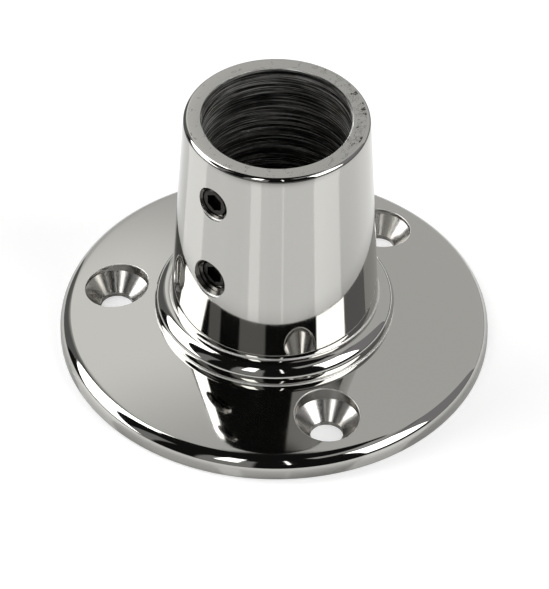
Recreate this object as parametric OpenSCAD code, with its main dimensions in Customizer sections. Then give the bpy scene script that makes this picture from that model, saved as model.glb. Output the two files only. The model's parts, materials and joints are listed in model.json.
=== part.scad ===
// Round 90 degree stanchion base in polished stainless steel.
// Units are millimetres and +Z is up. The origin is at the centre of the flange, on the deck.
// The two set screws face -Y.

/* [Stanchion tube] */
// Outside diameter of the tube that the socket takes
tube_d = 25.4; // [25:0.1:26]
// Slack between the tube and the bore, on the diameter
tube_slack = 0.2; // [0.1:0.05:0.3]
// Height of the stop that the tube's end rests on
stop_z = 3; // [2:0.5:5]
// Diameter of the drain hole through the stop
drain_d = 22; // [16:0.5:22.5]

/* [Socket] */
// Overall height above the deck
total_h = 49.2; // [47:0.1:60]
// Outside diameter of the taper at its foot, on the collar's lip
socket_foot_d = 36.1; // [35.5:0.1:37.5]
// Outside diameter of the taper at the top
socket_top_d = 31.9; // [31.5:0.1:33]
// Rounding of the top's outer edge
socket_edge_r = 0.8; // [0.3:0.1:1.2]
// Chamfer at the mouth of the bore
mouth_chamfer = 0.25; // [0.1:0.05:0.6]
// Outside diameter of the spigot that passes through the collar and the flange
spigot_d = 31; // [30.6:0.1:32]

/* [Collar ring] */
// Height of the collar's lip above the deck
collar_z = 10.35; // [10:0.05:11]
// Largest diameter of the collar's round bead
collar_d = 41.8; // [41:0.1:43]
// Radius of the bead's cross-section
bead_r = 2.4; // [2.2:0.1:2.5]
// Diameter of the flat lip on top of the bead
lip_d = 38.3; // [37.6:0.1:39]
// How far the lip stands above the bead
lip_h = 0.12; // [0.05:0.01:0.3]

/* [Flange] */
// Diameter of the flange
flange_d = 75; // [72:0.5:90]
// Height of the flange's straight edge, below its rounding
edge_z = 1.7; // [1.5:0.1:2]
// Radius that rounds the edge into the crowned top
edge_r = 2.4; // [2.2:0.1:2.6]
// Radius of the crown of the top face
crown_r = 198; // [180:1:230]
// Rounding of the edge that meets the deck
deck_edge_r = 0.4; // [0.2:0.1:0.8]
// Depth of the recess in the underside that takes the weld
recess_depth = 1.4; // [1:0.1:2]
// Width of that recess beyond the spigot
recess_w = 2.6; // [2:0.1:4]

/* [Deck screw holes] */
// Number of holes
deck_hole_count = 3; // [3:1:4]
// Pitch circle diameter
deck_pcd = 56.4; // [55:0.2:58]
// Clearance diameter for the screw's shank
deck_hole_d = 5.7; // [5:0.1:6]
// Diameter of the straight recess above the countersink
head_d = 11.2; // [10:0.1:12]
// Height of the straight land under the countersink
land_h = 0.85; // [0.6:0.05:1]

/* [Set screws] */
// Pitch diameter of the thread, at which the plain stand-in cylinder is drawn
thread_d = 5.35; // [5.2:0.05:5.6]
// Radial running clearance between a screw and its hole
thread_clear = 0.05; // [0.02:0.01:0.1]
// Length of each screw
screw_l = 3; // [2.5:0.1:3.2]
// Distance of the resting tip from the wall of the bore
tip_gap = 0.1; // [0.05:0.05:0.3]
// Width across the flats of the hexagon socket
hex_af = 3; // [2.5:0.1:3]
// Depth of the hexagon socket
hex_depth = 1.6; // [1.2:0.1:1.8]
// Height of the upper screw's axis
upper_screw_z = 40.5; // [38:0.1:41]
// Height of the lower screw's axis
lower_screw_z = 24.1; // [18:0.1:28]
// Diameter of the chamfer at the mouth of each tapped hole
screw_mouth_d = 6.7; // [6.4:0.1:7]

/* [Hidden] */
eps = 0.01;
bore_r = (tube_d + tube_slack) / 2;
flange_r = flange_d / 2;
spigot_r = spigot_d / 2;
foot_r = socket_foot_d / 2;
top_r = socket_top_d / 2;
lip_r = lip_d / 2;
hole_r = thread_d / 2 + thread_clear;
// The edge rounding lies inside the crown and touches it
edge_c = flange_r - edge_r;
crown_z = edge_z - sqrt(pow(crown_r - edge_r, 2) - pow(edge_c, 2));
touch_r = edge_c * crown_r / (crown_r - edge_r);
// Centre of the bead's cross-section
bead_c = collar_d / 2 - bead_r;
bead_z = collar_z - lip_h - bead_r;
// The weld stays clear of the deck
weld_clear = 0.3;
// Outer radius of the taper at a height
function wall_r(z) = foot_r + (top_r - foot_r) * (z - collar_z) / (total_h - collar_z);

// Outline of the solid that the crown and the edge rounding bound
module crowned_outline() {
    intersection() {
        translate([0, crown_z]) circle(r = crown_r, $fn = 2880);
        square([touch_r, 2 * bead_z]);
    }
    translate([edge_c, edge_z]) intersection() {
        circle(r = edge_r, $fn = 120);
        square(edge_r);
    }
    translate([0, deck_edge_r]) square([flange_r, edge_z - deck_edge_r]);
    square([flange_r - deck_edge_r, edge_z]);
    translate([flange_r - deck_edge_r, deck_edge_r]) circle(r = deck_edge_r, $fn = 48);
}

// One countersunk hole for a deck screw, on the Z axis
module deck_hole() {
    cone_h = (head_d - deck_hole_d) / 2;
    translate([0, 0, -1]) cylinder(d = deck_hole_d, h = 2 + land_h, $fn = 96);
    translate([0, 0, land_h]) cylinder(d1 = deck_hole_d, d2 = head_d, h = cone_h, $fn = 96);
    translate([0, 0, land_h + cone_h]) cylinder(d = head_d, h = bead_z, $fn = 96);
}

// One tapped hole through the wall of the socket, pointing to -Y
module tapped_hole(z) {
    mouth_r = screw_mouth_d / 2;
    cone_h = mouth_r - hole_r;
    outer = wall_r(z);
    translate([0, 0, z]) rotate([90, 0, 0]) {
        translate([0, 0, bore_r / 2]) cylinder(r = hole_r, h = foot_r, $fn = 96);
        translate([0, 0, outer - cone_h]) cylinder(r1 = hole_r, r2 = mouth_r, h = cone_h, $fn = 96);
        translate([0, 0, outer]) cylinder(r = mouth_r, h = 2, $fn = 96);
    }
}

// One cup-point set screw at rest, with its hexagon socket facing -Y
module set_screw(z) {
    r = thread_d / 2;
    bevel = 0.35;
    cup_r = 1.2;
    cup_depth = 0.4;
    translate([0, 0, z]) rotate([90, 0, 0]) translate([0, 0, bore_r + tip_gap]) {
        difference() {
            union() {
                cylinder(r1 = r - 2 * bevel, r2 = r, h = bevel, $fn = 96);
                translate([0, 0, bevel]) cylinder(r = r, h = screw_l - 2 * bevel, $fn = 96);
                translate([0, 0, screw_l - bevel]) cylinder(r1 = r, r2 = r - bevel, h = bevel, $fn = 96);
            }
            translate([0, 0, -eps]) cylinder(r1 = cup_r, r2 = 0, h = cup_depth, $fn = 96);
            translate([0, 0, screw_l - hex_depth])
                cylinder(d = hex_af / cos(30), h = hex_depth + 1, $fn = 6);
        }
    }
}

// Crowned round plate with a rounded edge, countersunk holes and a weld recess underneath
module flange() {
    color("silver") difference() {
        rotate_extrude($fn = 180) crowned_outline();
        translate([0, 0, -1]) cylinder(r = spigot_r, h = 2 * bead_z, $fn = 180);
        translate([0, 0, -1]) cylinder(r = spigot_r + recess_w, h = 1 + recess_depth, $fn = 180);
        for (i = [0 : deck_hole_count - 1])
            rotate([0, 0, 90 + 360 * i / deck_hole_count])
                translate([deck_pcd / 2, 0, 0]) deck_hole();
    }
}

// Round-beaded ring that sits on the crown and carries the socket's shoulder on its lip
module collar_ring() {
    color("silver") rotate_extrude($fn = 180) difference() {
        union() {
            translate([bead_c, bead_z]) circle(r = bead_r, $fn = 120);
            translate([spigot_r, edge_z]) square([bead_c - spigot_r, collar_z - lip_h - edge_z]);
            translate([spigot_r, bead_z]) square([lip_r - spigot_r, collar_z - bead_z]);
        }
        translate([0, crown_z]) circle(r = crown_r, $fn = 2880);
    }
}

// Tapered sleeve with the tube bore, its stop, the spigot and two tapped holes
module socket() {
    taper = (top_r - foot_r) / (total_h - collar_z);
    color("silver") difference() {
        union() {
            translate([0, 0, collar_z]) cylinder(r1 = foot_r, r2 = top_r - taper * socket_edge_r,
                h = total_h - collar_z - socket_edge_r, $fn = 180);
            rotate_extrude($fn = 180) {
                square([top_r - socket_edge_r, total_h]);
                translate([top_r - socket_edge_r, total_h - socket_edge_r])
                    circle(r = socket_edge_r, $fn = 60);
            }
            translate([0, 0, weld_clear]) cylinder(r = spigot_r, h = collar_z, $fn = 180);
        }
        translate([0, 0, stop_z]) cylinder(r = bore_r, h = total_h, $fn = 180);
        translate([0, 0, -1]) cylinder(d = drain_d, h = 2 * stop_z, $fn = 180);
        translate([0, 0, total_h - mouth_chamfer])
            cylinder(r1 = bore_r, r2 = bore_r + 2 * mouth_chamfer, h = 2 * mouth_chamfer, $fn = 180);
        tapped_hole(upper_screw_z);
        tapped_hole(lower_screw_z);
    }
}

// Fillet weld round the spigot in the flange's recess
module weld_seam() {
    fillet = recess_w - weld_clear;
    color("darkgray") rotate_extrude($fn = 180)
        translate([spigot_r, recess_depth])
            mirror([0, 1]) polygon([[0, 0], [fillet, 0], [0.75 * fillet, 0.3], [0.4 * fillet, 0.7],
                [0, recess_depth - weld_clear]]);
}

module upper_set_screw() {
    color("gray") set_screw(upper_screw_z);
}

module lower_set_screw() {
    color("gray") set_screw(lower_screw_z);
}

flange();
collar_ring();
socket();
weld_seam();
upper_set_screw();
lower_set_screw();
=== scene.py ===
import json
from math import asin, atan2, cos, pi, radians, sin, sqrt

import bpy
from mathutils import Matrix, Vector


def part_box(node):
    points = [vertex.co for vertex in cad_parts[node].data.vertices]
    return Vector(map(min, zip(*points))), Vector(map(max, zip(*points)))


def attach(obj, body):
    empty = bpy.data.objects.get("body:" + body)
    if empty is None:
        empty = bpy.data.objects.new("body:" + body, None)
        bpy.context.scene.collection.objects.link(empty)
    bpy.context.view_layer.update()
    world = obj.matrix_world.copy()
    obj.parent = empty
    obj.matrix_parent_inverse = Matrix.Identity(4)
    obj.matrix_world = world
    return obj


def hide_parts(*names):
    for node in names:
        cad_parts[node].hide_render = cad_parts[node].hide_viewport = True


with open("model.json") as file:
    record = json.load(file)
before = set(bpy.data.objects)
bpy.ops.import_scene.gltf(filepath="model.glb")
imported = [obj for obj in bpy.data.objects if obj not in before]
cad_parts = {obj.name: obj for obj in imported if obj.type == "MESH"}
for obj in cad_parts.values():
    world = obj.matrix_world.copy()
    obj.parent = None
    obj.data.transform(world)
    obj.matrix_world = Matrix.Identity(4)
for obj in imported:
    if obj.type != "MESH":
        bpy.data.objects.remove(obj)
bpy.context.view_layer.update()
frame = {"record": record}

# A round 90 degree stanchion base: crowned flange, beaded collar ring, tapered socket,
# two set screws in tapped holes and the weld underneath. Lengths are metres, from millimetres.
MM = 0.001

# Sizes that the frame gives
mounts = {m["name"]: m for m in frame["record"]["mounts"]}
flange_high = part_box("flange")[1]
collar_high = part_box("collar_ring")[1]
socket_low, socket_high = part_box("socket")
weld_low, weld_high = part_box("weld_seam")
screw_boxes = {n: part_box(n) for n in ("upper_set_screw", "lower_set_screw")}

flange_r = flange_high[0]
collar_r = collar_high[0]
lip_z = collar_high[2]
foot_r = socket_high[0]
top_z = socket_high[2]
bore_r = mounts["tube_bore"]["dims"]["r_mm"] * MM
pitch_circle_r = mounts["deck_holes"]["dims"]["pcd_mm"] / 2 * MM
shank_r = mounts["deck_holes"]["dims"]["hole_r_mm"] * MM
deck_hole_count = mounts["deck_holes"]["dims"]["count"]
screw_r = screw_boxes["upper_set_screw"][1][0]
screw_z = {n: (b[0][2] + b[1][2]) / 2 for n, b in screw_boxes.items()}
screw_tip = -screw_boxes["upper_set_screw"][1][1]
screw_length = screw_boxes["upper_set_screw"][1][1] - screw_boxes["upper_set_screw"][0][1]

# Room for rounding when faces are picked by their place
NEAR = 0.01 * MM
# Distances under which merging and bisecting take two points for one
MERGE = 1e-7
ON_PLANE = 1e-8

# Sizes of the design that no box gives
EDGE_Z = 1.7 * MM
EDGE_R = 2.4 * MM
CROWN_R = 198 * MM
DECK_EDGE_R = 0.4 * MM
RECESS_DEPTH = 1.4 * MM
SPIGOT_R = 15.5 * MM
RECESS_R = SPIGOT_R + 2.6 * MM
BEAD_R = 2.4 * MM
CORNER_R = 0.25 * MM
FOOT_R = 0.24 * MM
BEAD_DROP = 0.42 * MM
LIP_STEP = 0.12 * MM
HEAD_R = 5.6 * MM
LAND_H = 0.85 * MM
TOP_R = 15.95 * MM
TOP_EDGE_R = 0.8 * MM
MOUTH = 0.25 * MM
STOP_Z = 3 * MM
DRAIN_R = 11 * MM
HOLE_R = screw_r + 0.05 * MM
THREAD_DEPTH = 0.42 * MM
PITCH = 1.0 * MM
SCREW_MOUTH_R = {"upper_set_screw": 3.35 * MM, "lower_set_screw": 3.8 * MM}
HEX_AF = 3 * MM
HEX_DEPTH = 1.6 * MM
TOOL_STEPS = 96

weld_r = weld_high[0]
weld_foot = weld_low[2]
weld_top = weld_high[2]
edge_c = flange_r - EDGE_R
crown_z = EDGE_Z - sqrt((CROWN_R - EDGE_R) ** 2 - edge_c ** 2)
touch_angle = asin(edge_c / (CROWN_R - EDGE_R))
bead_c = collar_r - BEAD_R
bead_z = lip_z - LIP_STEP - BEAD_R
taper_angle = atan2(foot_r - TOP_R, top_z - lip_z)


def crown_at(r):
    """Height of the crown at a distance from the axis."""
    return crown_z + sqrt(CROWN_R ** 2 - r ** 2)


def wall_r(z):
    """Outer radius of the socket's taper at a height."""
    return foot_r + (TOP_R - foot_r) * (z - lip_z) / (top_z - lip_z)


# ---------------------------------------------------------------- modelling

def deselect():
    for o in bpy.context.selected_objects:
        o.select_set(False)


def activate(obj):
    deselect()
    obj.select_set(True)
    bpy.context.view_layer.objects.active = obj


def arc(centre_r, centre_z, radius, start, end, count):
    """Points of an arc in the (r, z) plane, its angles in radians from +r towards +z."""
    turn = [start + (end - start) * i / count for i in range(count + 1)]
    return [(centre_r + radius * cos(a), centre_z + radius * sin(a)) for a in turn]


def drawn(name, outline, closed=True):
    """A plane merged to one point, then extruded point by point along an outline in the XZ plane."""
    deselect()
    bpy.ops.mesh.primitive_plane_add(size=MM)
    obj = bpy.context.object
    obj.name = obj.data.name = name
    bpy.ops.object.mode_set(mode="EDIT")
    bpy.ops.mesh.select_all(action="SELECT")
    bpy.ops.mesh.merge(type="CENTER")
    bpy.ops.transform.translate(value=(outline[0][0], 0, outline[0][1]))
    for (r0, z0), (r1, z1) in zip(outline, outline[1:]):
        bpy.ops.mesh.extrude_region_move(TRANSFORM_OT_translate={"value": (r1 - r0, 0, z1 - z0)})
    if closed:
        bpy.ops.object.mode_set(mode="OBJECT")
        last = len(obj.data.vertices) - 1
        for v in obj.data.vertices:
            v.select = v.index in (0, last)
        bpy.ops.object.mode_set(mode="EDIT")
        bpy.ops.mesh.edge_face_add()
    bpy.ops.mesh.select_all(action="SELECT")
    return obj


def turned(name, outline, steps=288, closed=True):
    """An outline spun about the Z axis, as on a lathe."""
    obj = drawn(name, outline, closed)
    bpy.ops.mesh.spin(steps=steps, angle=2 * pi, center=(0, 0, 0), axis=(0, 0, 1))
    bpy.ops.mesh.select_all(action="SELECT")
    bpy.ops.mesh.remove_doubles(threshold=MERGE)
    bpy.ops.mesh.normals_make_consistent(inside=False)
    bpy.ops.object.mode_set(mode="OBJECT")
    return obj


def threaded(name, root, crest, length):
    """A rod along +Z with a right-hand helical thread, from z = 0 to length."""
    rising, falling = (root, 0.1 * PITCH), (root, 0.9 * PITCH)
    profile = [(root, 0), rising, (crest, 0.42 * PITCH), (crest, 0.58 * PITCH), falling, (root, PITCH)]
    obj = drawn(name, profile, closed=False)
    bpy.ops.object.mode_set(mode="OBJECT")
    turns = int(length / PITCH) + 3
    helix = obj.modifiers.new("helix", "SCREW")
    helix.axis = "Z"
    helix.angle = 2 * pi
    helix.screw_offset = PITCH
    helix.iterations = turns
    helix.steps = helix.render_steps = 72
    helix.use_merge_vertices = True
    bpy.ops.object.modifier_apply(modifier="helix")
    bpy.ops.object.mode_set(mode="EDIT")
    bpy.ops.mesh.select_all(action="SELECT")
    bpy.ops.mesh.remove_doubles(threshold=MERGE)
    low = 1.2 * PITCH
    bpy.ops.mesh.bisect(plane_co=(0, 0, low), plane_no=(0, 0, 1), use_fill=True, clear_inner=True,
                        threshold=ON_PLANE)
    bpy.ops.mesh.select_all(action="SELECT")
    bpy.ops.mesh.bisect(plane_co=(0, 0, low + length), plane_no=(0, 0, 1), use_fill=True, clear_outer=True,
                        threshold=ON_PLANE)
    bpy.ops.mesh.select_all(action="SELECT")
    bpy.ops.transform.translate(value=(0, 0, -low))
    bpy.ops.mesh.normals_make_consistent(inside=False)
    bpy.ops.object.mode_set(mode="OBJECT")
    return obj


def prism(name, across_flats, depth, tip):
    """A hexagonal prism along +Z with a shallow drilled tip below it."""
    corner_r = across_flats / 2 / cos(radians(30))
    deselect()
    bpy.ops.mesh.primitive_cylinder_add(vertices=6, radius=corner_r, depth=depth, location=(0, 0, depth / 2))
    obj = bpy.context.object
    obj.name = obj.data.name = name
    bpy.ops.object.transform_apply(location=True, rotation=True, scale=True)
    bpy.ops.object.mode_set(mode="EDIT")
    bpy.ops.mesh.select_all(action="DESELECT")
    bpy.ops.object.mode_set(mode="OBJECT")
    for f in obj.data.polygons:
        f.select = f.normal.z < -0.9
    bpy.ops.object.mode_set(mode="EDIT")
    bpy.ops.mesh.inset(thickness=0.06 * across_flats)
    bpy.ops.mesh.extrude_region_move(TRANSFORM_OT_translate={"value": (0, 0, -tip)})
    bpy.ops.mesh.merge(type="CENTER")
    bpy.ops.mesh.select_all(action="SELECT")
    bpy.ops.mesh.normals_make_consistent(inside=False)
    bpy.ops.object.mode_set(mode="OBJECT")
    return obj


def copied(obj, name):
    twin = obj.copy()
    twin.data = obj.data.copy()
    twin.name = twin.data.name = name
    bpy.context.collection.objects.link(twin)
    return twin


def placed(obj, location=(0, 0, 0), turn=(0, 0, 0)):
    """Turns and moves a piece and puts the place into its mesh."""
    activate(obj)
    obj.rotation_euler = turn
    obj.location = location
    bpy.ops.object.transform_apply(location=True, rotation=True, scale=True)
    return obj


def cut(obj, tool, operation="DIFFERENCE"):
    """Cuts a tool out of a piece, or keeps only what both share. The tool is used up."""
    activate(obj)
    m = obj.modifiers.new("cut", "BOOLEAN")
    m.operation = operation
    m.solver = "EXACT"
    m.object = tool
    m.material_mode = "TRANSFER"
    bpy.ops.object.modifier_apply(modifier="cut")
    bpy.data.objects.remove(tool)


def smoothed(obj, angle=35):
    """Smooth shading, with every edge sharper than the angle kept crisp."""
    activate(obj)
    bpy.ops.object.shade_smooth_by_angle(angle=radians(angle))


def followed(obj, uncut, on_skin):
    """Gives a cut surface the uncut one's normals, so that reflections run clean to each lip."""
    group = obj.vertex_groups.new(name="skin")
    group.add([v.index for v in obj.data.vertices if on_skin(v.co)], 1.0, "REPLACE")
    activate(obj)
    m = obj.modifiers.new("follow", "DATA_TRANSFER")
    m.object = uncut
    m.use_loop_data = True
    m.data_types_loops = {"CUSTOM_NORMAL"}
    m.loop_mapping = "POLYINTERP_NEAREST"
    m.vertex_group = "skin"
    bpy.ops.object.modifier_apply(modifier="follow")
    obj.vertex_groups.clear()
    bpy.data.objects.remove(uncut)


def paint(obj, material, where=None):
    """Gives a material to the faces for which where(centre, normal) is true, or to all."""
    if material.name not in obj.data.materials:
        obj.data.materials.append(material)
    index = obj.data.materials.find(material.name)
    for f in obj.data.polygons:
        if where is None or where(f.center, f.normal):
            f.material_index = index


# ---------------------------------------------------------------- materials

def linear(code):
    """The linear colour of an sRGB hex code."""
    values = [int(code[i:i + 2], 16) / 255 for i in (1, 3, 5)]
    return tuple(v / 12.92 if v <= 0.04045 else ((v + 0.055) / 1.055) ** 2.4 for v in values) + (1.0,)


def add(tree, kind, settings=None, **links):
    """Adds one node with its settings and links.

    A link has its input's name, with _ for a space, or i0, i1 and so on for the input's place.
    """
    n = tree.nodes.new(kind)
    for key, value in (settings or {}).items():
        if isinstance(key, int) or key in n.inputs:
            n.inputs[key].default_value = value
        else:
            setattr(n, key, value)
    for key, source in links.items():
        target = int(key[1:]) if key[0] == "i" and key[1:].isdigit() else key.replace("_", " ")
        tree.links.new(source, n.inputs[target])
    return n


def metal(name, colour, roughness):
    """A material with one metallic shader: gives the material, its tree and the shader to build on."""
    m = bpy.data.materials.new(name)
    m.use_nodes = True
    tree = m.node_tree
    tree.nodes.clear()
    shader = add(tree, "ShaderNodeBsdfPrincipled", {"Base Color": linear(colour), "Metallic": 1.0,
                                                    "Roughness": roughness})
    add(tree, "ShaderNodeOutputMaterial", i0=shader.outputs[0])
    return m, tree, shader


def stretched(tree, size=(1, 1, 1), turn=(0, 0, 0)):
    """Object coordinates on which a pattern's marks have a size along each axis, turned about the origin."""
    coords = add(tree, "ShaderNodeTexCoord").outputs["Object"]
    scale = tuple(1 / s for s in size)
    return add(tree, "ShaderNodeMapping", {"Scale": scale, "Rotation": turn}, Vector=coords).outputs[0]


def roughened(tree, shader, pattern, smoothest, roughest):
    """Lets the roughness follow a 0 to 1 pattern."""
    spread = add(tree, "ShaderNodeMapRange", {"To Min": smoothest, "To Max": roughest}, Value=pattern)
    tree.links.new(spread.outputs[0], shader.inputs["Roughness"])


def embossed(tree, shader, pattern, height, strength=1.0, sunk=False):
    """Raises or sinks the surface where a pattern is bright, on top of any earlier relief."""
    relief = add(tree, "ShaderNodeBump", {"Strength": strength, "Distance": height, "invert": sunk},
                 Height=pattern)
    if shader.inputs["Normal"].is_linked:
        tree.links.new(shader.inputs["Normal"].links[0].from_socket, relief.inputs["Normal"])
    tree.links.new(relief.outputs[0], shader.inputs["Normal"])


def round_marks(tree, pitch, wander):
    """Rings about the Z axis, spaced by a pitch and broken up by noise, as a facing tool leaves them."""
    xyz = add(tree, "ShaderNodeSeparateXYZ", i0=add(tree, "ShaderNodeTexCoord").outputs["Object"])
    flat = add(tree, "ShaderNodeCombineXYZ", i0=xyz.outputs[0], i1=xyz.outputs[1])
    radius = add(tree, "ShaderNodeVectorMath", {"operation": "LENGTH"}, i0=flat.outputs[0])
    ring = add(tree, "ShaderNodeMath", {"operation": "MULTIPLY", 1: 1 / pitch}, i0=radius.outputs["Value"])
    across = add(tree, "ShaderNodeMath", {"operation": "MULTIPLY", 1: wander}, i0=xyz.outputs[0])
    along = add(tree, "ShaderNodeMath", {"operation": "MULTIPLY", 1: wander}, i0=xyz.outputs[1])
    where = add(tree, "ShaderNodeCombineXYZ", i0=ring.outputs[0], i1=across.outputs[0], i2=along.outputs[0])
    return add(tree, "ShaderNodeTexNoise", {"Scale": 1.0, "Detail": 3.0}, Vector=where.outputs[0]).outputs[0]


def mirror_polished_steel():
    """Stainless steel buffed on a wheel: a deep mirror, a little wavy, with a faint haze of hairlines."""
    m, tree, shader = metal("mirror_polished_stainless", "#B9B8B4", 0.05)
    wave_size, haze_size = 7 * MM, 5 * MM
    wave = add(tree, "ShaderNodeTexNoise", {"Scale": 1 / wave_size, "Detail": 1.0}, Vector=stretched(tree))
    strokes = stretched(tree, (9 * MM, 0.35 * MM, 6 * MM), (0, 0, radians(24)))
    hair = add(tree, "ShaderNodeTexNoise", {"Scale": 1.0, "Detail": 4.0}, Vector=strokes)
    haze = add(tree, "ShaderNodeTexNoise", {"Scale": 1 / haze_size, "Detail": 3.0}, Vector=stretched(tree))
    dull = add(tree, "ShaderNodeMath", {"operation": "MULTIPLY"}, i0=hair.outputs[0], i1=haze.outputs[0])
    roughened(tree, shader, dull.outputs[0], 0.02, 0.13)
    embossed(tree, shader, wave.outputs[0], 0.004 * MM)
    embossed(tree, shader, hair.outputs[0], 0.00006 * MM)
    return m


def faced_steel():
    """The socket's faced top: a close satin, with casting pits and flaws that the facing has opened."""
    m, tree, shader = metal("faced_stainless", "#B4B3AF", 0.22)
    grain_size = flaw_size = 1.5 * MM
    grain = add(tree, "ShaderNodeTexNoise", {"Scale": 1 / grain_size, "Detail": 3.0}, Vector=stretched(tree))
    roughened(tree, shader, grain.outputs[0], 0.14, 0.28)

    # The flaws gather on one side, where the level of the noise is lifted
    worst = radians(50)
    side = add(tree, "ShaderNodeVectorMath", {"operation": "DOT_PRODUCT", 1: (cos(worst), sin(worst), 0)},
               i0=add(tree, "ShaderNodeTexCoord").outputs["Object"])
    lift = add(tree, "ShaderNodeMapRange", {"From Min": 7 * MM, "From Max": 14.5 * MM, "To Max": 0.14},
               Value=side.outputs["Value"])
    slanted = stretched(tree, (1 / 1.3, 1 / 0.8, 1), (0, 0, radians(-35)))
    dents = add(tree, "ShaderNodeTexNoise", {"Scale": 1 / flaw_size, "Detail": 4.0, "Roughness": 0.6},
                Vector=slanted)
    level = add(tree, "ShaderNodeMath", {"operation": "ADD"}, i0=dents.outputs[0], i1=lift.outputs[0])

    # A pit opens where the level is high, and a thin line runs round it where the level is a little lower.
    # Both are painted dark, as painted shade in the hollows
    pit_start, pit_full, line_level = 0.70, 0.74, 0.635
    pits = add(tree, "ShaderNodeMapRange", {"From Min": pit_start, "From Max": pit_full},
               Value=level.outputs[0])
    off = add(tree, "ShaderNodeMath", {"operation": "SUBTRACT", 1: line_level}, i0=level.outputs[0])
    away = add(tree, "ShaderNodeMath", {"operation": "ABSOLUTE"}, i0=off.outputs[0])
    rims = add(tree, "ShaderNodeMapRange", {"From Min": 0.012, "From Max": 0.004, "To Max": 0.6},
               Value=away.outputs[0])
    flaws = add(tree, "ShaderNodeMath", {"operation": "MAXIMUM"}, i0=pits.outputs[0], i1=rims.outputs[0])
    # Painted shade: the pits and the lines round them are darkened
    colour = add(tree, "ShaderNodeMix", {"data_type": "RGBA", 6: linear("#B4B3AF"), 7: linear("#4A4844")},
                 i0=flaws.outputs[0])
    tree.links.new(colour.outputs[2], shader.inputs["Base Color"])
    embossed(tree, shader, round_marks(tree, 0.3 * MM, 60), 0.001 * MM, 0.5)
    embossed(tree, shader, flaws.outputs[0], 0.02 * MM, 0.8, sunk=True)
    return m


def bored_steel():
    """The bore: turned steel whose feed marks draw each light out into a streak, painted dark as shade in the
    deep bore, with painted highlights along the lines.
    """
    m, tree, shader = metal("bored_stainless", "#8F8D89", 0.3)
    shader.inputs["Anisotropic"].default_value = 0.97
    round_axis = add(tree, "ShaderNodeTangent", {"direction_type": "RADIAL", "axis": "Z"})
    tree.links.new(round_axis.outputs[0], shader.inputs["Tangent"])
    feed = stretched(tree, (14 * MM, 14 * MM, 0.3 * MM))
    lines = add(tree, "ShaderNodeTexNoise", {"Scale": 1.0, "Detail": 5.0, "Roughness": 0.7}, Vector=feed)
    # Painted light: the lines run from painted shade, near black, to painted highlights, near white
    tone = add(tree, "ShaderNodeValToRGB", Fac=lines.outputs[0])
    stops = tone.color_ramp.elements
    stops[0].position, stops[0].color = 0.42, linear("#242322")
    stops[1].position, stops[1].color = 0.6, linear("#FFFFFC")
    stops.new(0.5).color = linear("#7E7C79")
    tree.links.new(tone.outputs[0], shader.inputs["Base Color"])
    roughened(tree, shader, lines.outputs[0], 0.45, 0.75)
    embossed(tree, shader, lines.outputs[0], 0.34 * MM)
    return m


def cut_steel(name, colour, smoothest, roughest):
    """Steel as a cutting tool leaves it: a little streaky, smoother in some places than in others."""
    m, tree, shader = metal(name, colour, smoothest)
    mark_size = 0.5 * MM
    streak = add(tree, "ShaderNodeTexNoise", {"Scale": 1 / mark_size, "Detail": 4.0}, Vector=stretched(tree))
    roughened(tree, shader, streak.outputs[0], smoothest, roughest)
    embossed(tree, shader, streak.outputs[0], 0.0006 * MM)
    return m


def satin_steel():
    """Corners and lips that the buffing wheel never reached: a pale satin that takes light from all sides."""
    m, tree, shader = metal("satin_stainless", "#DCDBD8", 0.45)
    grain_size = 0.7 * MM
    grain = add(tree, "ShaderNodeTexNoise", {"Scale": 1 / grain_size, "Detail": 4.0}, Vector=stretched(tree))
    roughened(tree, shader, grain.outputs[0], 0.36, 0.54)
    embossed(tree, shader, grain.outputs[0], 0.004 * MM)
    return m


def ground_steel():
    """The underside, turned flat and never polished: dull, with broad rings and a few stains."""
    m, tree, shader = metal("ground_stainless", "#A19F9A", 0.38)
    rings = round_marks(tree, 0.35 * MM, 45)
    stain_size = 11 * MM
    stain = add(tree, "ShaderNodeTexNoise", {"Scale": 1 / stain_size, "Detail": 5.0}, Vector=stretched(tree))
    tone = add(tree, "ShaderNodeMix", {"data_type": "RGBA", 6: linear("#86837D"), 7: linear("#B2B0AB")},
               i0=stain.outputs[0])
    tree.links.new(tone.outputs[2], shader.inputs["Base Color"])
    roughened(tree, shader, rings, 0.28, 0.5)
    embossed(tree, shader, rings, 0.015 * MM, 0.9)
    return m


def screw_steel():
    """Set screws in black oxide, with painted shade making them nearly as dark as their holes, and a soft
    gleam on the edges.
    """
    m, tree, shader = metal("black_oxide_and_shade_steel", "#2C2A29", 0.3)
    grain_size = 0.4 * MM
    grain = add(tree, "ShaderNodeTexNoise", {"Scale": 1 / grain_size, "Detail": 4.0}, Vector=stretched(tree))
    tone = add(tree, "ShaderNodeMix", {"data_type": "RGBA", 6: linear("#1F1E1D"), 7: linear("#403E3B")},
               i0=grain.outputs[0])
    tree.links.new(tone.outputs[2], shader.inputs["Base Color"])
    roughened(tree, shader, grain.outputs[0], 0.2, 0.42)
    embossed(tree, shader, grain.outputs[0], 0.01 * MM)
    return m


def weld_steel():
    """The weld bead: rippled filler with the straw to blue tint that the heat leaves."""
    m, tree, shader = metal("heat_tinted_weld", "#9A948A", 0.3)
    tint_size = 4 * MM
    tint = add(tree, "ShaderNodeTexNoise", {"Scale": 1 / tint_size, "Detail": 2.0}, Vector=stretched(tree))
    ramp = add(tree, "ShaderNodeValToRGB", Fac=tint.outputs[0])
    stops = ramp.color_ramp.elements
    stops[0].position, stops[0].color = 0.32, linear("#6F7A8C")
    stops[1].position, stops[1].color = 0.68, linear("#B8A98C")
    stops.new(0.5).color = linear("#A19C94")
    tree.links.new(ramp.outputs[0], shader.inputs["Base Color"])
    roughened(tree, shader, tint.outputs[0], 0.22, 0.45)
    return m


POLISHED = mirror_polished_steel()
FACED = faced_steel()
BORED = bored_steel()
# Countersinks, bright from a sharp drill
DRILLED = cut_steel("drilled_stainless", "#BCBAB6", 0.17, 0.27)
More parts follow.
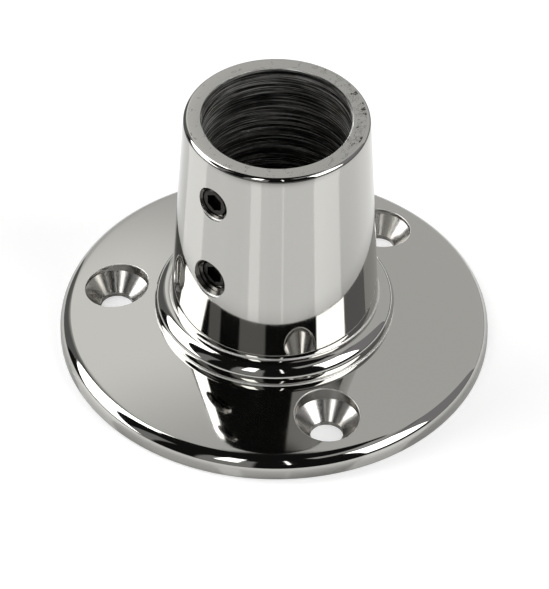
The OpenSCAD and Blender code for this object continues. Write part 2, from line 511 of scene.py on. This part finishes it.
# Threads and their mouths, painted dark as the shade inside the tapped holes
TAPPED = cut_steel("tapped_stainless", "#55534F", 0.1, 0.3)
SATIN = satin_steel()
GROUND = ground_steel()
SCREW = screw_steel()
WELD = weld_steel()


# ---------------------------------------------------------------- pieces

def crowned_flange():
    """The plate: flat below with a recess for the weld, crowned above, with three countersunk holes."""
    outline = [(SPIGOT_R, RECESS_DEPTH), (RECESS_R, RECESS_DEPTH), (RECESS_R, 0)]
    outline += [(22 * MM, 0), (28 * MM, 0), (33 * MM, 0)]
    outline += arc(flange_r - DECK_EDGE_R, DECK_EDGE_R, DECK_EDGE_R, -pi / 2, 0, 5)
    outline += arc(edge_c, EDGE_Z, EDGE_R, 0, pi / 2 - touch_angle, 20)
    inner_angle = asin(SPIGOT_R / CROWN_R)
    outline += arc(0, crown_z, CROWN_R, pi / 2 - touch_angle, pi / 2 - inner_angle, 22)[1:]
    plate = turned("flange_plate", outline)
    paint(plate, POLISHED)
    paint(plate, GROUND, lambda c, n: c.z < RECESS_DEPTH + NEAR and n.z < -0.9)
    paint(plate, GROUND, lambda c, n: c.xy.length < RECESS_R)
    smoothed(plate)
    uncut = copied(plate, "uncut_plate")

    cone = [(shank_r, -MM), (shank_r, LAND_H)]
    cone_h = HEAD_R - shank_r
    marks = 16
    chatter = 0.012 * MM
    cone += [(shank_r + cone_h * i / marks, LAND_H + cone_h * i / marks + (chatter if i % 2 else 0))
             for i in range(1, marks)]
    drill_outline = [(0, -MM)] + cone + [(HEAD_R, LAND_H + cone_h), (HEAD_R, lip_z), (0, lip_z)]
    drill = turned("countersink", drill_outline, steps=TOOL_STEPS, closed=False)
    paint(drill, DRILLED)

    # A tilted tool rounds each hole's lip, which follows the slope of the crown
    lip = 0.16 * MM
    flare_outline = [(0, -lip)] + arc(HEAD_R + lip, -lip, lip, pi, pi / 2, 5) + [(HEAD_R + lip, MM), (0, MM)]
    flare = turned("flare", flare_outline, steps=TOOL_STEPS, closed=False)
    paint(flare, SATIN)
    slope = asin(pitch_circle_r / CROWN_R)
    flare.scale = (1 / cos(slope), 1, 1)
    placed(flare, turn=(0, slope, 0))
    sink = HEAD_R ** 2 / (2 * CROWN_R)
    placed(flare, (pitch_circle_r, 0, crown_at(pitch_circle_r) - sink))
    off_the_facets = radians(1.3)
    placed(drill, (pitch_circle_r, 0, 0), (0, 0, off_the_facets))
    for i in range(deck_hole_count):
        swing = pi / 2 + 2 * pi * i / deck_hole_count
        for tool in (drill, flare):
            cut(plate, placed(copied(tool, "cutter"), turn=(0, 0, swing)))
    bpy.data.objects.remove(drill)
    bpy.data.objects.remove(flare)
    smoothed(plate)
    skin = 0.004 * MM
    followed(plate, uncut, lambda p: p.xy.length < edge_c - MM and abs(p.z - crown_at(p.xy.length)) < skin)
    return plate


def beaded_collar():
    """The bead, with a hollow satin corner up to the socket's wall and a smaller one down to the crown."""
    sink = 0.02 * MM
    low_z = bead_z - BEAD_DROP
    wall_foot = foot_r + NEAR
    corner_c = (wall_foot + CORNER_R, low_z + BEAD_R + CORNER_R)
    lip_angle = atan2(sqrt(BEAD_R ** 2 - (corner_c[0] - bead_c) ** 2), corner_c[0] - bead_c)
    reach = BEAD_R + FOOT_R
    foot_z = crown_at(collar_r) + FOOT_R
    foot_c = (bead_c + sqrt(reach ** 2 - (foot_z - low_z) ** 2), foot_z)
    bead_side = atan2(low_z - foot_z, bead_c - foot_c[0])
    outline = [(SPIGOT_R, crown_at(SPIGOT_R) - sink), (foot_c[0], crown_at(foot_c[0]) - sink)]
    foot = arc(foot_c[0], foot_c[1], FOOT_R, 3 * pi / 2, bead_side % (2 * pi), 8)
    bead_start = bead_side - pi if bead_side > 0 else bead_side + pi
    bead = arc(bead_c, low_z, BEAD_R, bead_start, lip_angle, 36)
    corner = arc(corner_c[0], corner_c[1], CORNER_R, 3 * pi / 2, pi, 8)
    outline += foot + bead[1:] + corner
    outline += [(foot_r, lip_z), (SPIGOT_R, lip_z)]
    ring = turned("beaded_collar_ring", outline)
    paint(ring, POLISHED)
    bead_top = low_z + BEAD_R
    paint(ring, SATIN, lambda c, n: bead_top - NEAR < c.z < corner_c[1] and c.xy.length < corner_c[0])
    paint(ring, SATIN, lambda c, n: c.xy.length > foot[-1][0] - NEAR and c.z < foot[-1][1])
    smoothed(ring)
    return ring


def bore_wall():
    """The bore's outline from its mouth to the tube's stop, with uneven feed marks."""
    low, high = STOP_Z + 0.3 * MM, top_z - 1.2 * MM
    count = 90
    heights = [high + (low - high) * i / count for i in range(count + 1)]
    depth = 0.09 * MM
    marks = [depth * (0.5 + 0.3 * sin(2.4 * i) + 0.2 * sin(0.7 * i + 1)) for i in range(count + 1)]
    return [(bore_r + mark, z) for mark, z in zip(marks, heights)]


def tapered_socket():
    """The sleeve: polished taper outside, faced top, turned bore and two tapped holes with eased mouths."""
    top_edge_c = TOP_R - TOP_EDGE_R
    wall_top = top_z - TOP_EDGE_R * (1 - sin(taper_angle))
    outline = [(DRAIN_R, socket_low[2]), (SPIGOT_R, socket_low[2]), (SPIGOT_R, lip_z), (foot_r, lip_z)]
    steps = 40
    outline += [(wall_r(z), z) for z in (lip_z + (wall_top - lip_z) * i / steps for i in range(1, steps))]
    outline += arc(top_edge_c, top_z - TOP_EDGE_R, TOP_EDGE_R, taper_angle, pi / 2, 10)
    outline += [(bore_r + MOUTH, top_z), (bore_r, top_z - MOUTH)] + bore_wall()
    outline += [(bore_r, STOP_Z), (DRAIN_R, STOP_Z)]
    sleeve = turned("tapered_sleeve", outline)
    paint(sleeve, POLISHED)
    paint(sleeve, FACED, lambda c, n: c.z > top_z - NEAR)
    paint(sleeve, BORED, lambda c, n: c.xy.length < bore_r + 0.9 * MOUTH and c.z < top_z - NEAR)
    paint(sleeve, GROUND, lambda c, n: c.z < STOP_Z - NEAR)
    smoothed(sleeve)
    uncut = copied(sleeve, "uncut_sleeve")

    thread = threaded("tap", HOLE_R, HOLE_R + THREAD_DEPTH, foot_r)
    paint(thread, TAPPED)
    placed(thread, (0, -bore_r / 2, 0), (pi / 2, 0, 0))
    lip = 0.28 * MM
    inside_the_tap = HOLE_R - 0.07 * MM
    for screw_name, z in screw_z.items():
        cut(sleeve, placed(copied(thread, "cutter"), (0, 0, z)))
        mouth_r = SCREW_MOUTH_R[screw_name]
        cone_r = mouth_r - lip
        cone_h = 0.8 * (cone_r - HOLE_R)
        mouth_outline = [(0, -lip - cone_h), (inside_the_tap, -lip - cone_h)]
        mouth_outline += arc(mouth_r, -lip, lip, pi, pi / 2, 6) + [(mouth_r, 2 * MM), (0, 2 * MM)]
        mouth = turned("mouth", mouth_outline, steps=TOOL_STEPS, closed=False)
        paint(mouth, TAPPED)
        paint(mouth, SATIN, lambda c, n: c.xy.length > cone_r and c.z < MM)
        placed(mouth, (0, -wall_r(z), z), (pi / 2, 0, 0))
        cut(sleeve, mouth)
    bpy.data.objects.remove(thread)
    smoothed(sleeve)
    skin_low, skin_high = lip_z + 0.5 * MM, top_z - 1.5 * MM
    skin = 0.008 * MM
    followed(sleeve, uncut, lambda p: skin_low < p.z < skin_high and abs(p.xy.length - wall_r(p.z)) < skin)
    return sleeve


def cup_point_screw():
    """A threaded rod with bevelled ends, a hollow cup point below and a hexagon socket above."""
    groove = 0.35 * MM
    rod = threaded("set_screw", screw_r - groove, screw_r, screw_length)
    bevel = 0.35 * MM
    clear_r = screw_r + 0.1 * MM
    blank_outline = [(0, 0), (screw_r - 2 * bevel, 0), (clear_r, 1.2 * bevel)]
    blank_outline += [(clear_r, screw_length - 1.3 * bevel), (screw_r - bevel, screw_length)]
    blank_outline += [(0, screw_length)]
    cut(rod, turned("blank", blank_outline, steps=TOOL_STEPS, closed=False), operation="INTERSECT")
    cup_r, cup_depth = 1.2 * MM, 0.4 * MM
    cup = turned("cup", [(0, cup_depth), (cup_r, 0), (cup_r, -MM), (0, -MM)], steps=72, closed=False)
    cut(rod, cup)
    drill_tip = 0.25 * MM
    hexagon = prism("hexagon", HEX_AF, HEX_DEPTH, drill_tip)
    placed(hexagon, (0, 0, screw_length - HEX_DEPTH + drill_tip))
    cut(rod, hexagon)
    paint(rod, SCREW)
    placed(rod, (0, -screw_tip, 0), (pi / 2, 0, 0))
    smoothed(rod)
    return rod


def rippled_weld():
    """Filler laid in overlapping ripples round the recess, joined to one skin and kept inside its space."""
    middle_r = (SPIGOT_R + weld_r) / 2
    half_w = (weld_r - SPIGOT_R) / 2
    spare = 0.3 * MM
    inner, outer, high = SPIGOT_R - spare, weld_r + spare, weld_top + spare
    bed_outline = [(inner, high), (inner, weld_foot + 0.55 * MM), (middle_r, weld_foot + 0.25 * MM),
                   (outer, weld_foot + 0.6 * MM), (outer, high)]
    bed = turned("weld_bead", bed_outline, steps=144)
    ripples = [bed]
    count = 84
    length, thickness, lift = 0.9 * MM, 0.62 * MM, 0.72 * MM
    for i in range(count):
        bpy.ops.mesh.primitive_uv_sphere_add(segments=24, ring_count=12, radius=1.0)
        ripple = bpy.context.object
        wave = sin(5.1 * i) + sin(2.3 * i + 1)
        ripple.scale = (half_w * (0.96 + 0.03 * wave), length, thickness)
        placed(ripple, turn=(radians(24 + 3 * wave), 0, 0))
        placed(ripple, (middle_r + 0.03 * MM * wave, 0, weld_foot + lift))
        ripples.append(placed(ripple, turn=(0, 0, 2 * pi * (i + 0.08 * wave) / count)))
    deselect()
    for ripple in ripples:
        ripple.select_set(True)
    bpy.context.view_layer.objects.active = bed
    bpy.ops.object.join()
    skin = bed.modifiers.new("skin", "REMESH")
    skin.mode = "VOXEL"
    skin.voxel_size = 0.11 * MM
    bpy.ops.object.modifier_apply(modifier="skin")
    space_outline = [(SPIGOT_R, weld_foot), (weld_r, weld_foot), (weld_r, weld_top), (SPIGOT_R, weld_top),
                     (SPIGOT_R, weld_foot)]
    cut(bed, turned("space", space_outline, closed=False), operation="INTERSECT")
    bed.data.materials.clear()
    paint(bed, WELD)
    smoothed(bed, 50)
    return bed


flange_plate = crowned_flange()
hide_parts("flange")
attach(flange_plate, "base")

collar = beaded_collar()
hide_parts("collar_ring")
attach(collar, "base")

socket = tapered_socket()
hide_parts("socket")
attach(socket, "base")

master_screw = cup_point_screw()
for node_name, body in (("upper_set_screw", "upper_screw"), ("lower_set_screw", "lower_screw")):
    screw = placed(copied(master_screw, node_name + "_piece"), (0, 0, screw_z[node_name]))
    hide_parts(node_name)
    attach(screw, body)
bpy.data.objects.remove(master_screw)

weld = rippled_weld()
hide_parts("weld_seam")
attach(weld, "base")


# ---------------------------------------------------------------- studio

# The direction of the backdrop's middle, straight behind the base as the camera sees it
REAR = radians(-139.26)


def plain_floor():
    """A pale floor that looks evenly white to the camera.

    Mirrors see it with a painted shadow close to the base and painted dimness far away. From below it is
    clear, and it stays clear to a ray that has passed through it.
    """
    deselect()
    bpy.ops.mesh.primitive_plane_add(size=3.0, location=(0, 0, -0.02 * MM))
    floor = bpy.context.object
    floor.name = "floor"
    m = bpy.data.materials.new("pale_floor")
    m.use_nodes = True
    tree = m.node_tree
    tree.nodes.clear()
    white = (1, 1, 1, 1)
    lit_start, lit_full = 35 * MM, 47 * MM
    fade_start, fade_full = 82 * MM, 125 * MM

    # What the mirrors see: paper painted dimmer with the distance, a painted glow with a painted shadow close
    # to the base, and a faint sheen
    distance = add(tree, "ShaderNodeVectorMath", {"operation": "LENGTH"},
                   i0=add(tree, "ShaderNodeTexCoord").outputs["Object"]).outputs["Value"]
    # Painted light: the glow is nil close to the base as a painted contact shadow, and fades far away, where
    # the paper is painted dim too
    near = add(tree, "ShaderNodeMapRange", {"interpolation_type": "SMOOTHSTEP", "From Min": lit_start,
                                            "From Max": lit_full, "To Max": 0.44}, Value=distance)
    far = add(tree, "ShaderNodeMapRange", {"interpolation_type": "SMOOTHSTEP", "From Min": fade_start,
                                           "From Max": fade_full, "To Min": 1.0, "To Max": 0.12},
              Value=distance)
    strength = add(tree, "ShaderNodeMath", {"operation": "MULTIPLY"}, i0=near.outputs[0], i1=far.outputs[0])
    shade = add(tree, "ShaderNodeMix", {"data_type": "RGBA", 6: linear("#2C2C2C"), 7: linear("#C4C4C4")},
                i0=far.outputs[0])
    paper = add(tree, "ShaderNodeBsdfDiffuse", Color=shade.outputs[2])
    glow = add(tree, "ShaderNodeEmission", {"Color": white}, Strength=strength.outputs[0])
    matt = add(tree, "ShaderNodeAddShader", i0=paper.outputs[0], i1=glow.outputs[0])
    sheen = add(tree, "ShaderNodeBsdfAnisotropic", {"Color": (0.06, 0.06, 0.06, 1), "Roughness": 0.06})
    mirrored = add(tree, "ShaderNodeAddShader", i0=matt.outputs[0], i1=sheen.outputs[0])

    # What the camera sees: the same paper with an even glow
    plain = add(tree, "ShaderNodeBsdfDiffuse", {"Color": linear("#C4C4C4")})
    even = add(tree, "ShaderNodeEmission", {"Color": white, "Strength": 0.55})
    pale = add(tree, "ShaderNodeAddShader", i0=plain.outputs[0], i1=even.outputs[0])
    path = add(tree, "ShaderNodeLightPath")
    top = add(tree, "ShaderNodeMixShader", i0=path.outputs["Is Camera Ray"], i1=mirrored.outputs[0],
              i2=pale.outputs[0])

    clear = add(tree, "ShaderNodeBsdfTransparent")
    side = add(tree, "ShaderNodeNewGeometry")
    crossed = add(tree, "ShaderNodeMath", {"operation": "GREATER_THAN", 1: 0.5},
                  i0=path.outputs["Transparent Depth"])
    gone = add(tree, "ShaderNodeMath", {"operation": "MAXIMUM"}, i0=side.outputs["Backfacing"],
               i1=crossed.outputs[0])
    seen = add(tree, "ShaderNodeMixShader", i0=gone.outputs[0], i1=top.outputs[0], i2=clear.outputs[0])
    add(tree, "ShaderNodeOutputMaterial", i0=seen.outputs[0])
    floor.data.materials.append(m)


def studio():
    """A dark room: a pale backdrop, a softbox on either side, strips and dim cards, and light from below.

    The camera sees the room as white. Each panel has its two sides in degrees round from the middle of the
    backdrop, its low and high edge in degrees above the horizon, its lean, its edges' blur and its light.
    """
    panels = [
        (-66, 26, -20, 66, 0.0, 1.5, (0.68, 0.68, 0.67)),
        (6, 34, 28, 56, 0.0, 16, (0.42, 0.42, 0.41)),
        (54, 91, 4, 66, -0.8, 2, (5.0, 5.0, 5.0)),
        (-135, -101, 12, 54, 0.0, 2, (5.0, 5.0, 5.0)),
        (26, 58, -20, 45, 0.0, 2, (0.15, 0.15, 0.15)),
        (-101, -66, -20, 56, 0.0, 4, (0.30, 0.29, 0.305)),
        (108, 122, -10, 50, 0.0, 3, (0.26, 0.26, 0.26)),
        (144, 171, -10, 50, 0.0, 3, (0.28, 0.28, 0.28)),
        (151, 163, 30, 60, 0.0, 1.5, (4.0, 4.0, 4.0)),
        (-172.5, -170.5, 30, 60, 0.0, 0.5, (3.0, 3.0, 3.0)),
        (-151, -66, 58, 70, 0.0, 3, (0.5, 0.5, 0.5)),
        (-200, 200, -95, -6, 0.0, 6, (0.14, 0.14, 0.14)),
        (-66, 40, -75, -16, 0.0, 8, (0.6, 0.6, 0.59)),
        (60, 100, -70, -10, 0.0, 6, (3.0, 3.0, 3.0)),
        (-140, -105, -70, -10, 0.0, 6, (3.0, 3.0, 3.0)),
    ]
    world = bpy.data.worlds.new("studio")
    world.use_nodes = True
    bpy.context.scene.world = world
    tree = world.node_tree
    tree.nodes.clear()
    coords = add(tree, "ShaderNodeTexCoord")
    turn = add(tree, "ShaderNodeVectorRotate", {"rotation_type": "Z_AXIS", "Angle": -REAR},
               Vector=coords.outputs["Generated"])
    xyz = add(tree, "ShaderNodeSeparateXYZ", i0=turn.outputs[0])
    depth = add(tree, "ShaderNodeMath", {"operation": "MULTIPLY", 1: -1.0}, i0=xyz.outputs[1])
    swing = add(tree, "ShaderNodeMath", {"operation": "ARCTAN2"}, i0=xyz.outputs[0], i1=depth.outputs[0])
    swing = add(tree, "ShaderNodeMath", {"operation": "DEGREES"}, i0=swing.outputs[0])
    height = add(tree, "ShaderNodeMath", {"operation": "ARCSINE"}, i0=xyz.outputs[2])
    height = add(tree, "ShaderNodeMath", {"operation": "DEGREES"}, i0=height.outputs[0])

    def band(value, low, high, blur):
        """1 between two limits and 0 outside them, with blurred edges."""
        middle = add(tree, "ShaderNodeMath", {"operation": "SUBTRACT", 1: (low + high) / 2}, i0=value)
        away = add(tree, "ShaderNodeMath", {"operation": "ABSOLUTE"}, i0=middle.outputs[0])
        half = (high - low) / 2
        edge = {"interpolation_type": "SMOOTHSTEP", "From Min": half + blur / 2, "From Max": half - blur / 2}
        return add(tree, "ShaderNodeMapRange", edge, Value=away.outputs[0]).outputs[0]

    dark = 0.01
    light = add(tree, "ShaderNodeCombineXYZ", {0: dark, 1: dark, 2: dark}).outputs[0]
    for left, right, low, high, lean, blur, colour in panels:
        upright = lean * (low + high) / 2
        offset = add(tree, "ShaderNodeMath", {"operation": "MULTIPLY_ADD", 1: -lean, 2: upright},
                     i0=height.outputs[0])
        leaning = add(tree, "ShaderNodeMath", {"operation": "ADD"}, i0=swing.outputs[0], i1=offset.outputs[0])
        across = band(leaning.outputs[0], left, right, blur)
        up = band(height.outputs[0], low, high, blur)
        mask = add(tree, "ShaderNodeMath", {"operation": "MULTIPLY"}, i0=across, i1=up)
        light = add(tree, "ShaderNodeVectorMath", {"operation": "MULTIPLY_ADD", 1: colour},
                    i0=mask.outputs[0], i2=light).outputs[0]
    room = add(tree, "ShaderNodeBackground", Color=light)
    white = add(tree, "ShaderNodeBackground", {"Color": (1, 1, 1, 1)})
    path = add(tree, "ShaderNodeLightPath")
    seen = add(tree, "ShaderNodeMixShader", i0=path.outputs["Is Camera Ray"], i1=room.outputs[0],
               i2=white.outputs[0])
    add(tree, "ShaderNodeOutputWorld", i0=seen.outputs[0])


plain_floor()
studio()

# Camera: the view of a long lens from the right of the set screws and above
AZIMUTH = radians(40.74)
ELEVATION = radians(42.88)
ROLL = radians(0.82)
DISTANCE = 901.1 * MM
TARGET_Z = 8.4 * MM
LENS = 338.3
SENSOR_W = 36


def camera():
    """Looks along a line through the axis at TARGET_Z, rolled a little about that line."""
    data = bpy.data.cameras.new("camera")
    cam = bpy.data.objects.new("camera", data)
    bpy.context.collection.objects.link(cam)
    back = Vector((sin(AZIMUTH) * cos(ELEVATION), -cos(AZIMUTH) * cos(ELEVATION), sin(ELEVATION)))
    level = Vector((cos(AZIMUTH), sin(AZIMUTH), 0))
    up = back.cross(level)
    right = cos(ROLL) * level + sin(ROLL) * up
    up = back.cross(right)
    axes = Matrix((right, up, back)).transposed().to_4x4()
    cam.matrix_world = Matrix.Translation(Vector((0, 0, TARGET_Z)) + back * DISTANCE) @ axes
    data.sensor_fit = "HORIZONTAL"
    data.sensor_width = SENSOR_W
    data.lens = LENS
    data.clip_start = 0.01
    data.clip_end = 20
    bpy.context.scene.camera = cam


camera()
bpy.context.scene.view_settings.view_transform = "Standard"
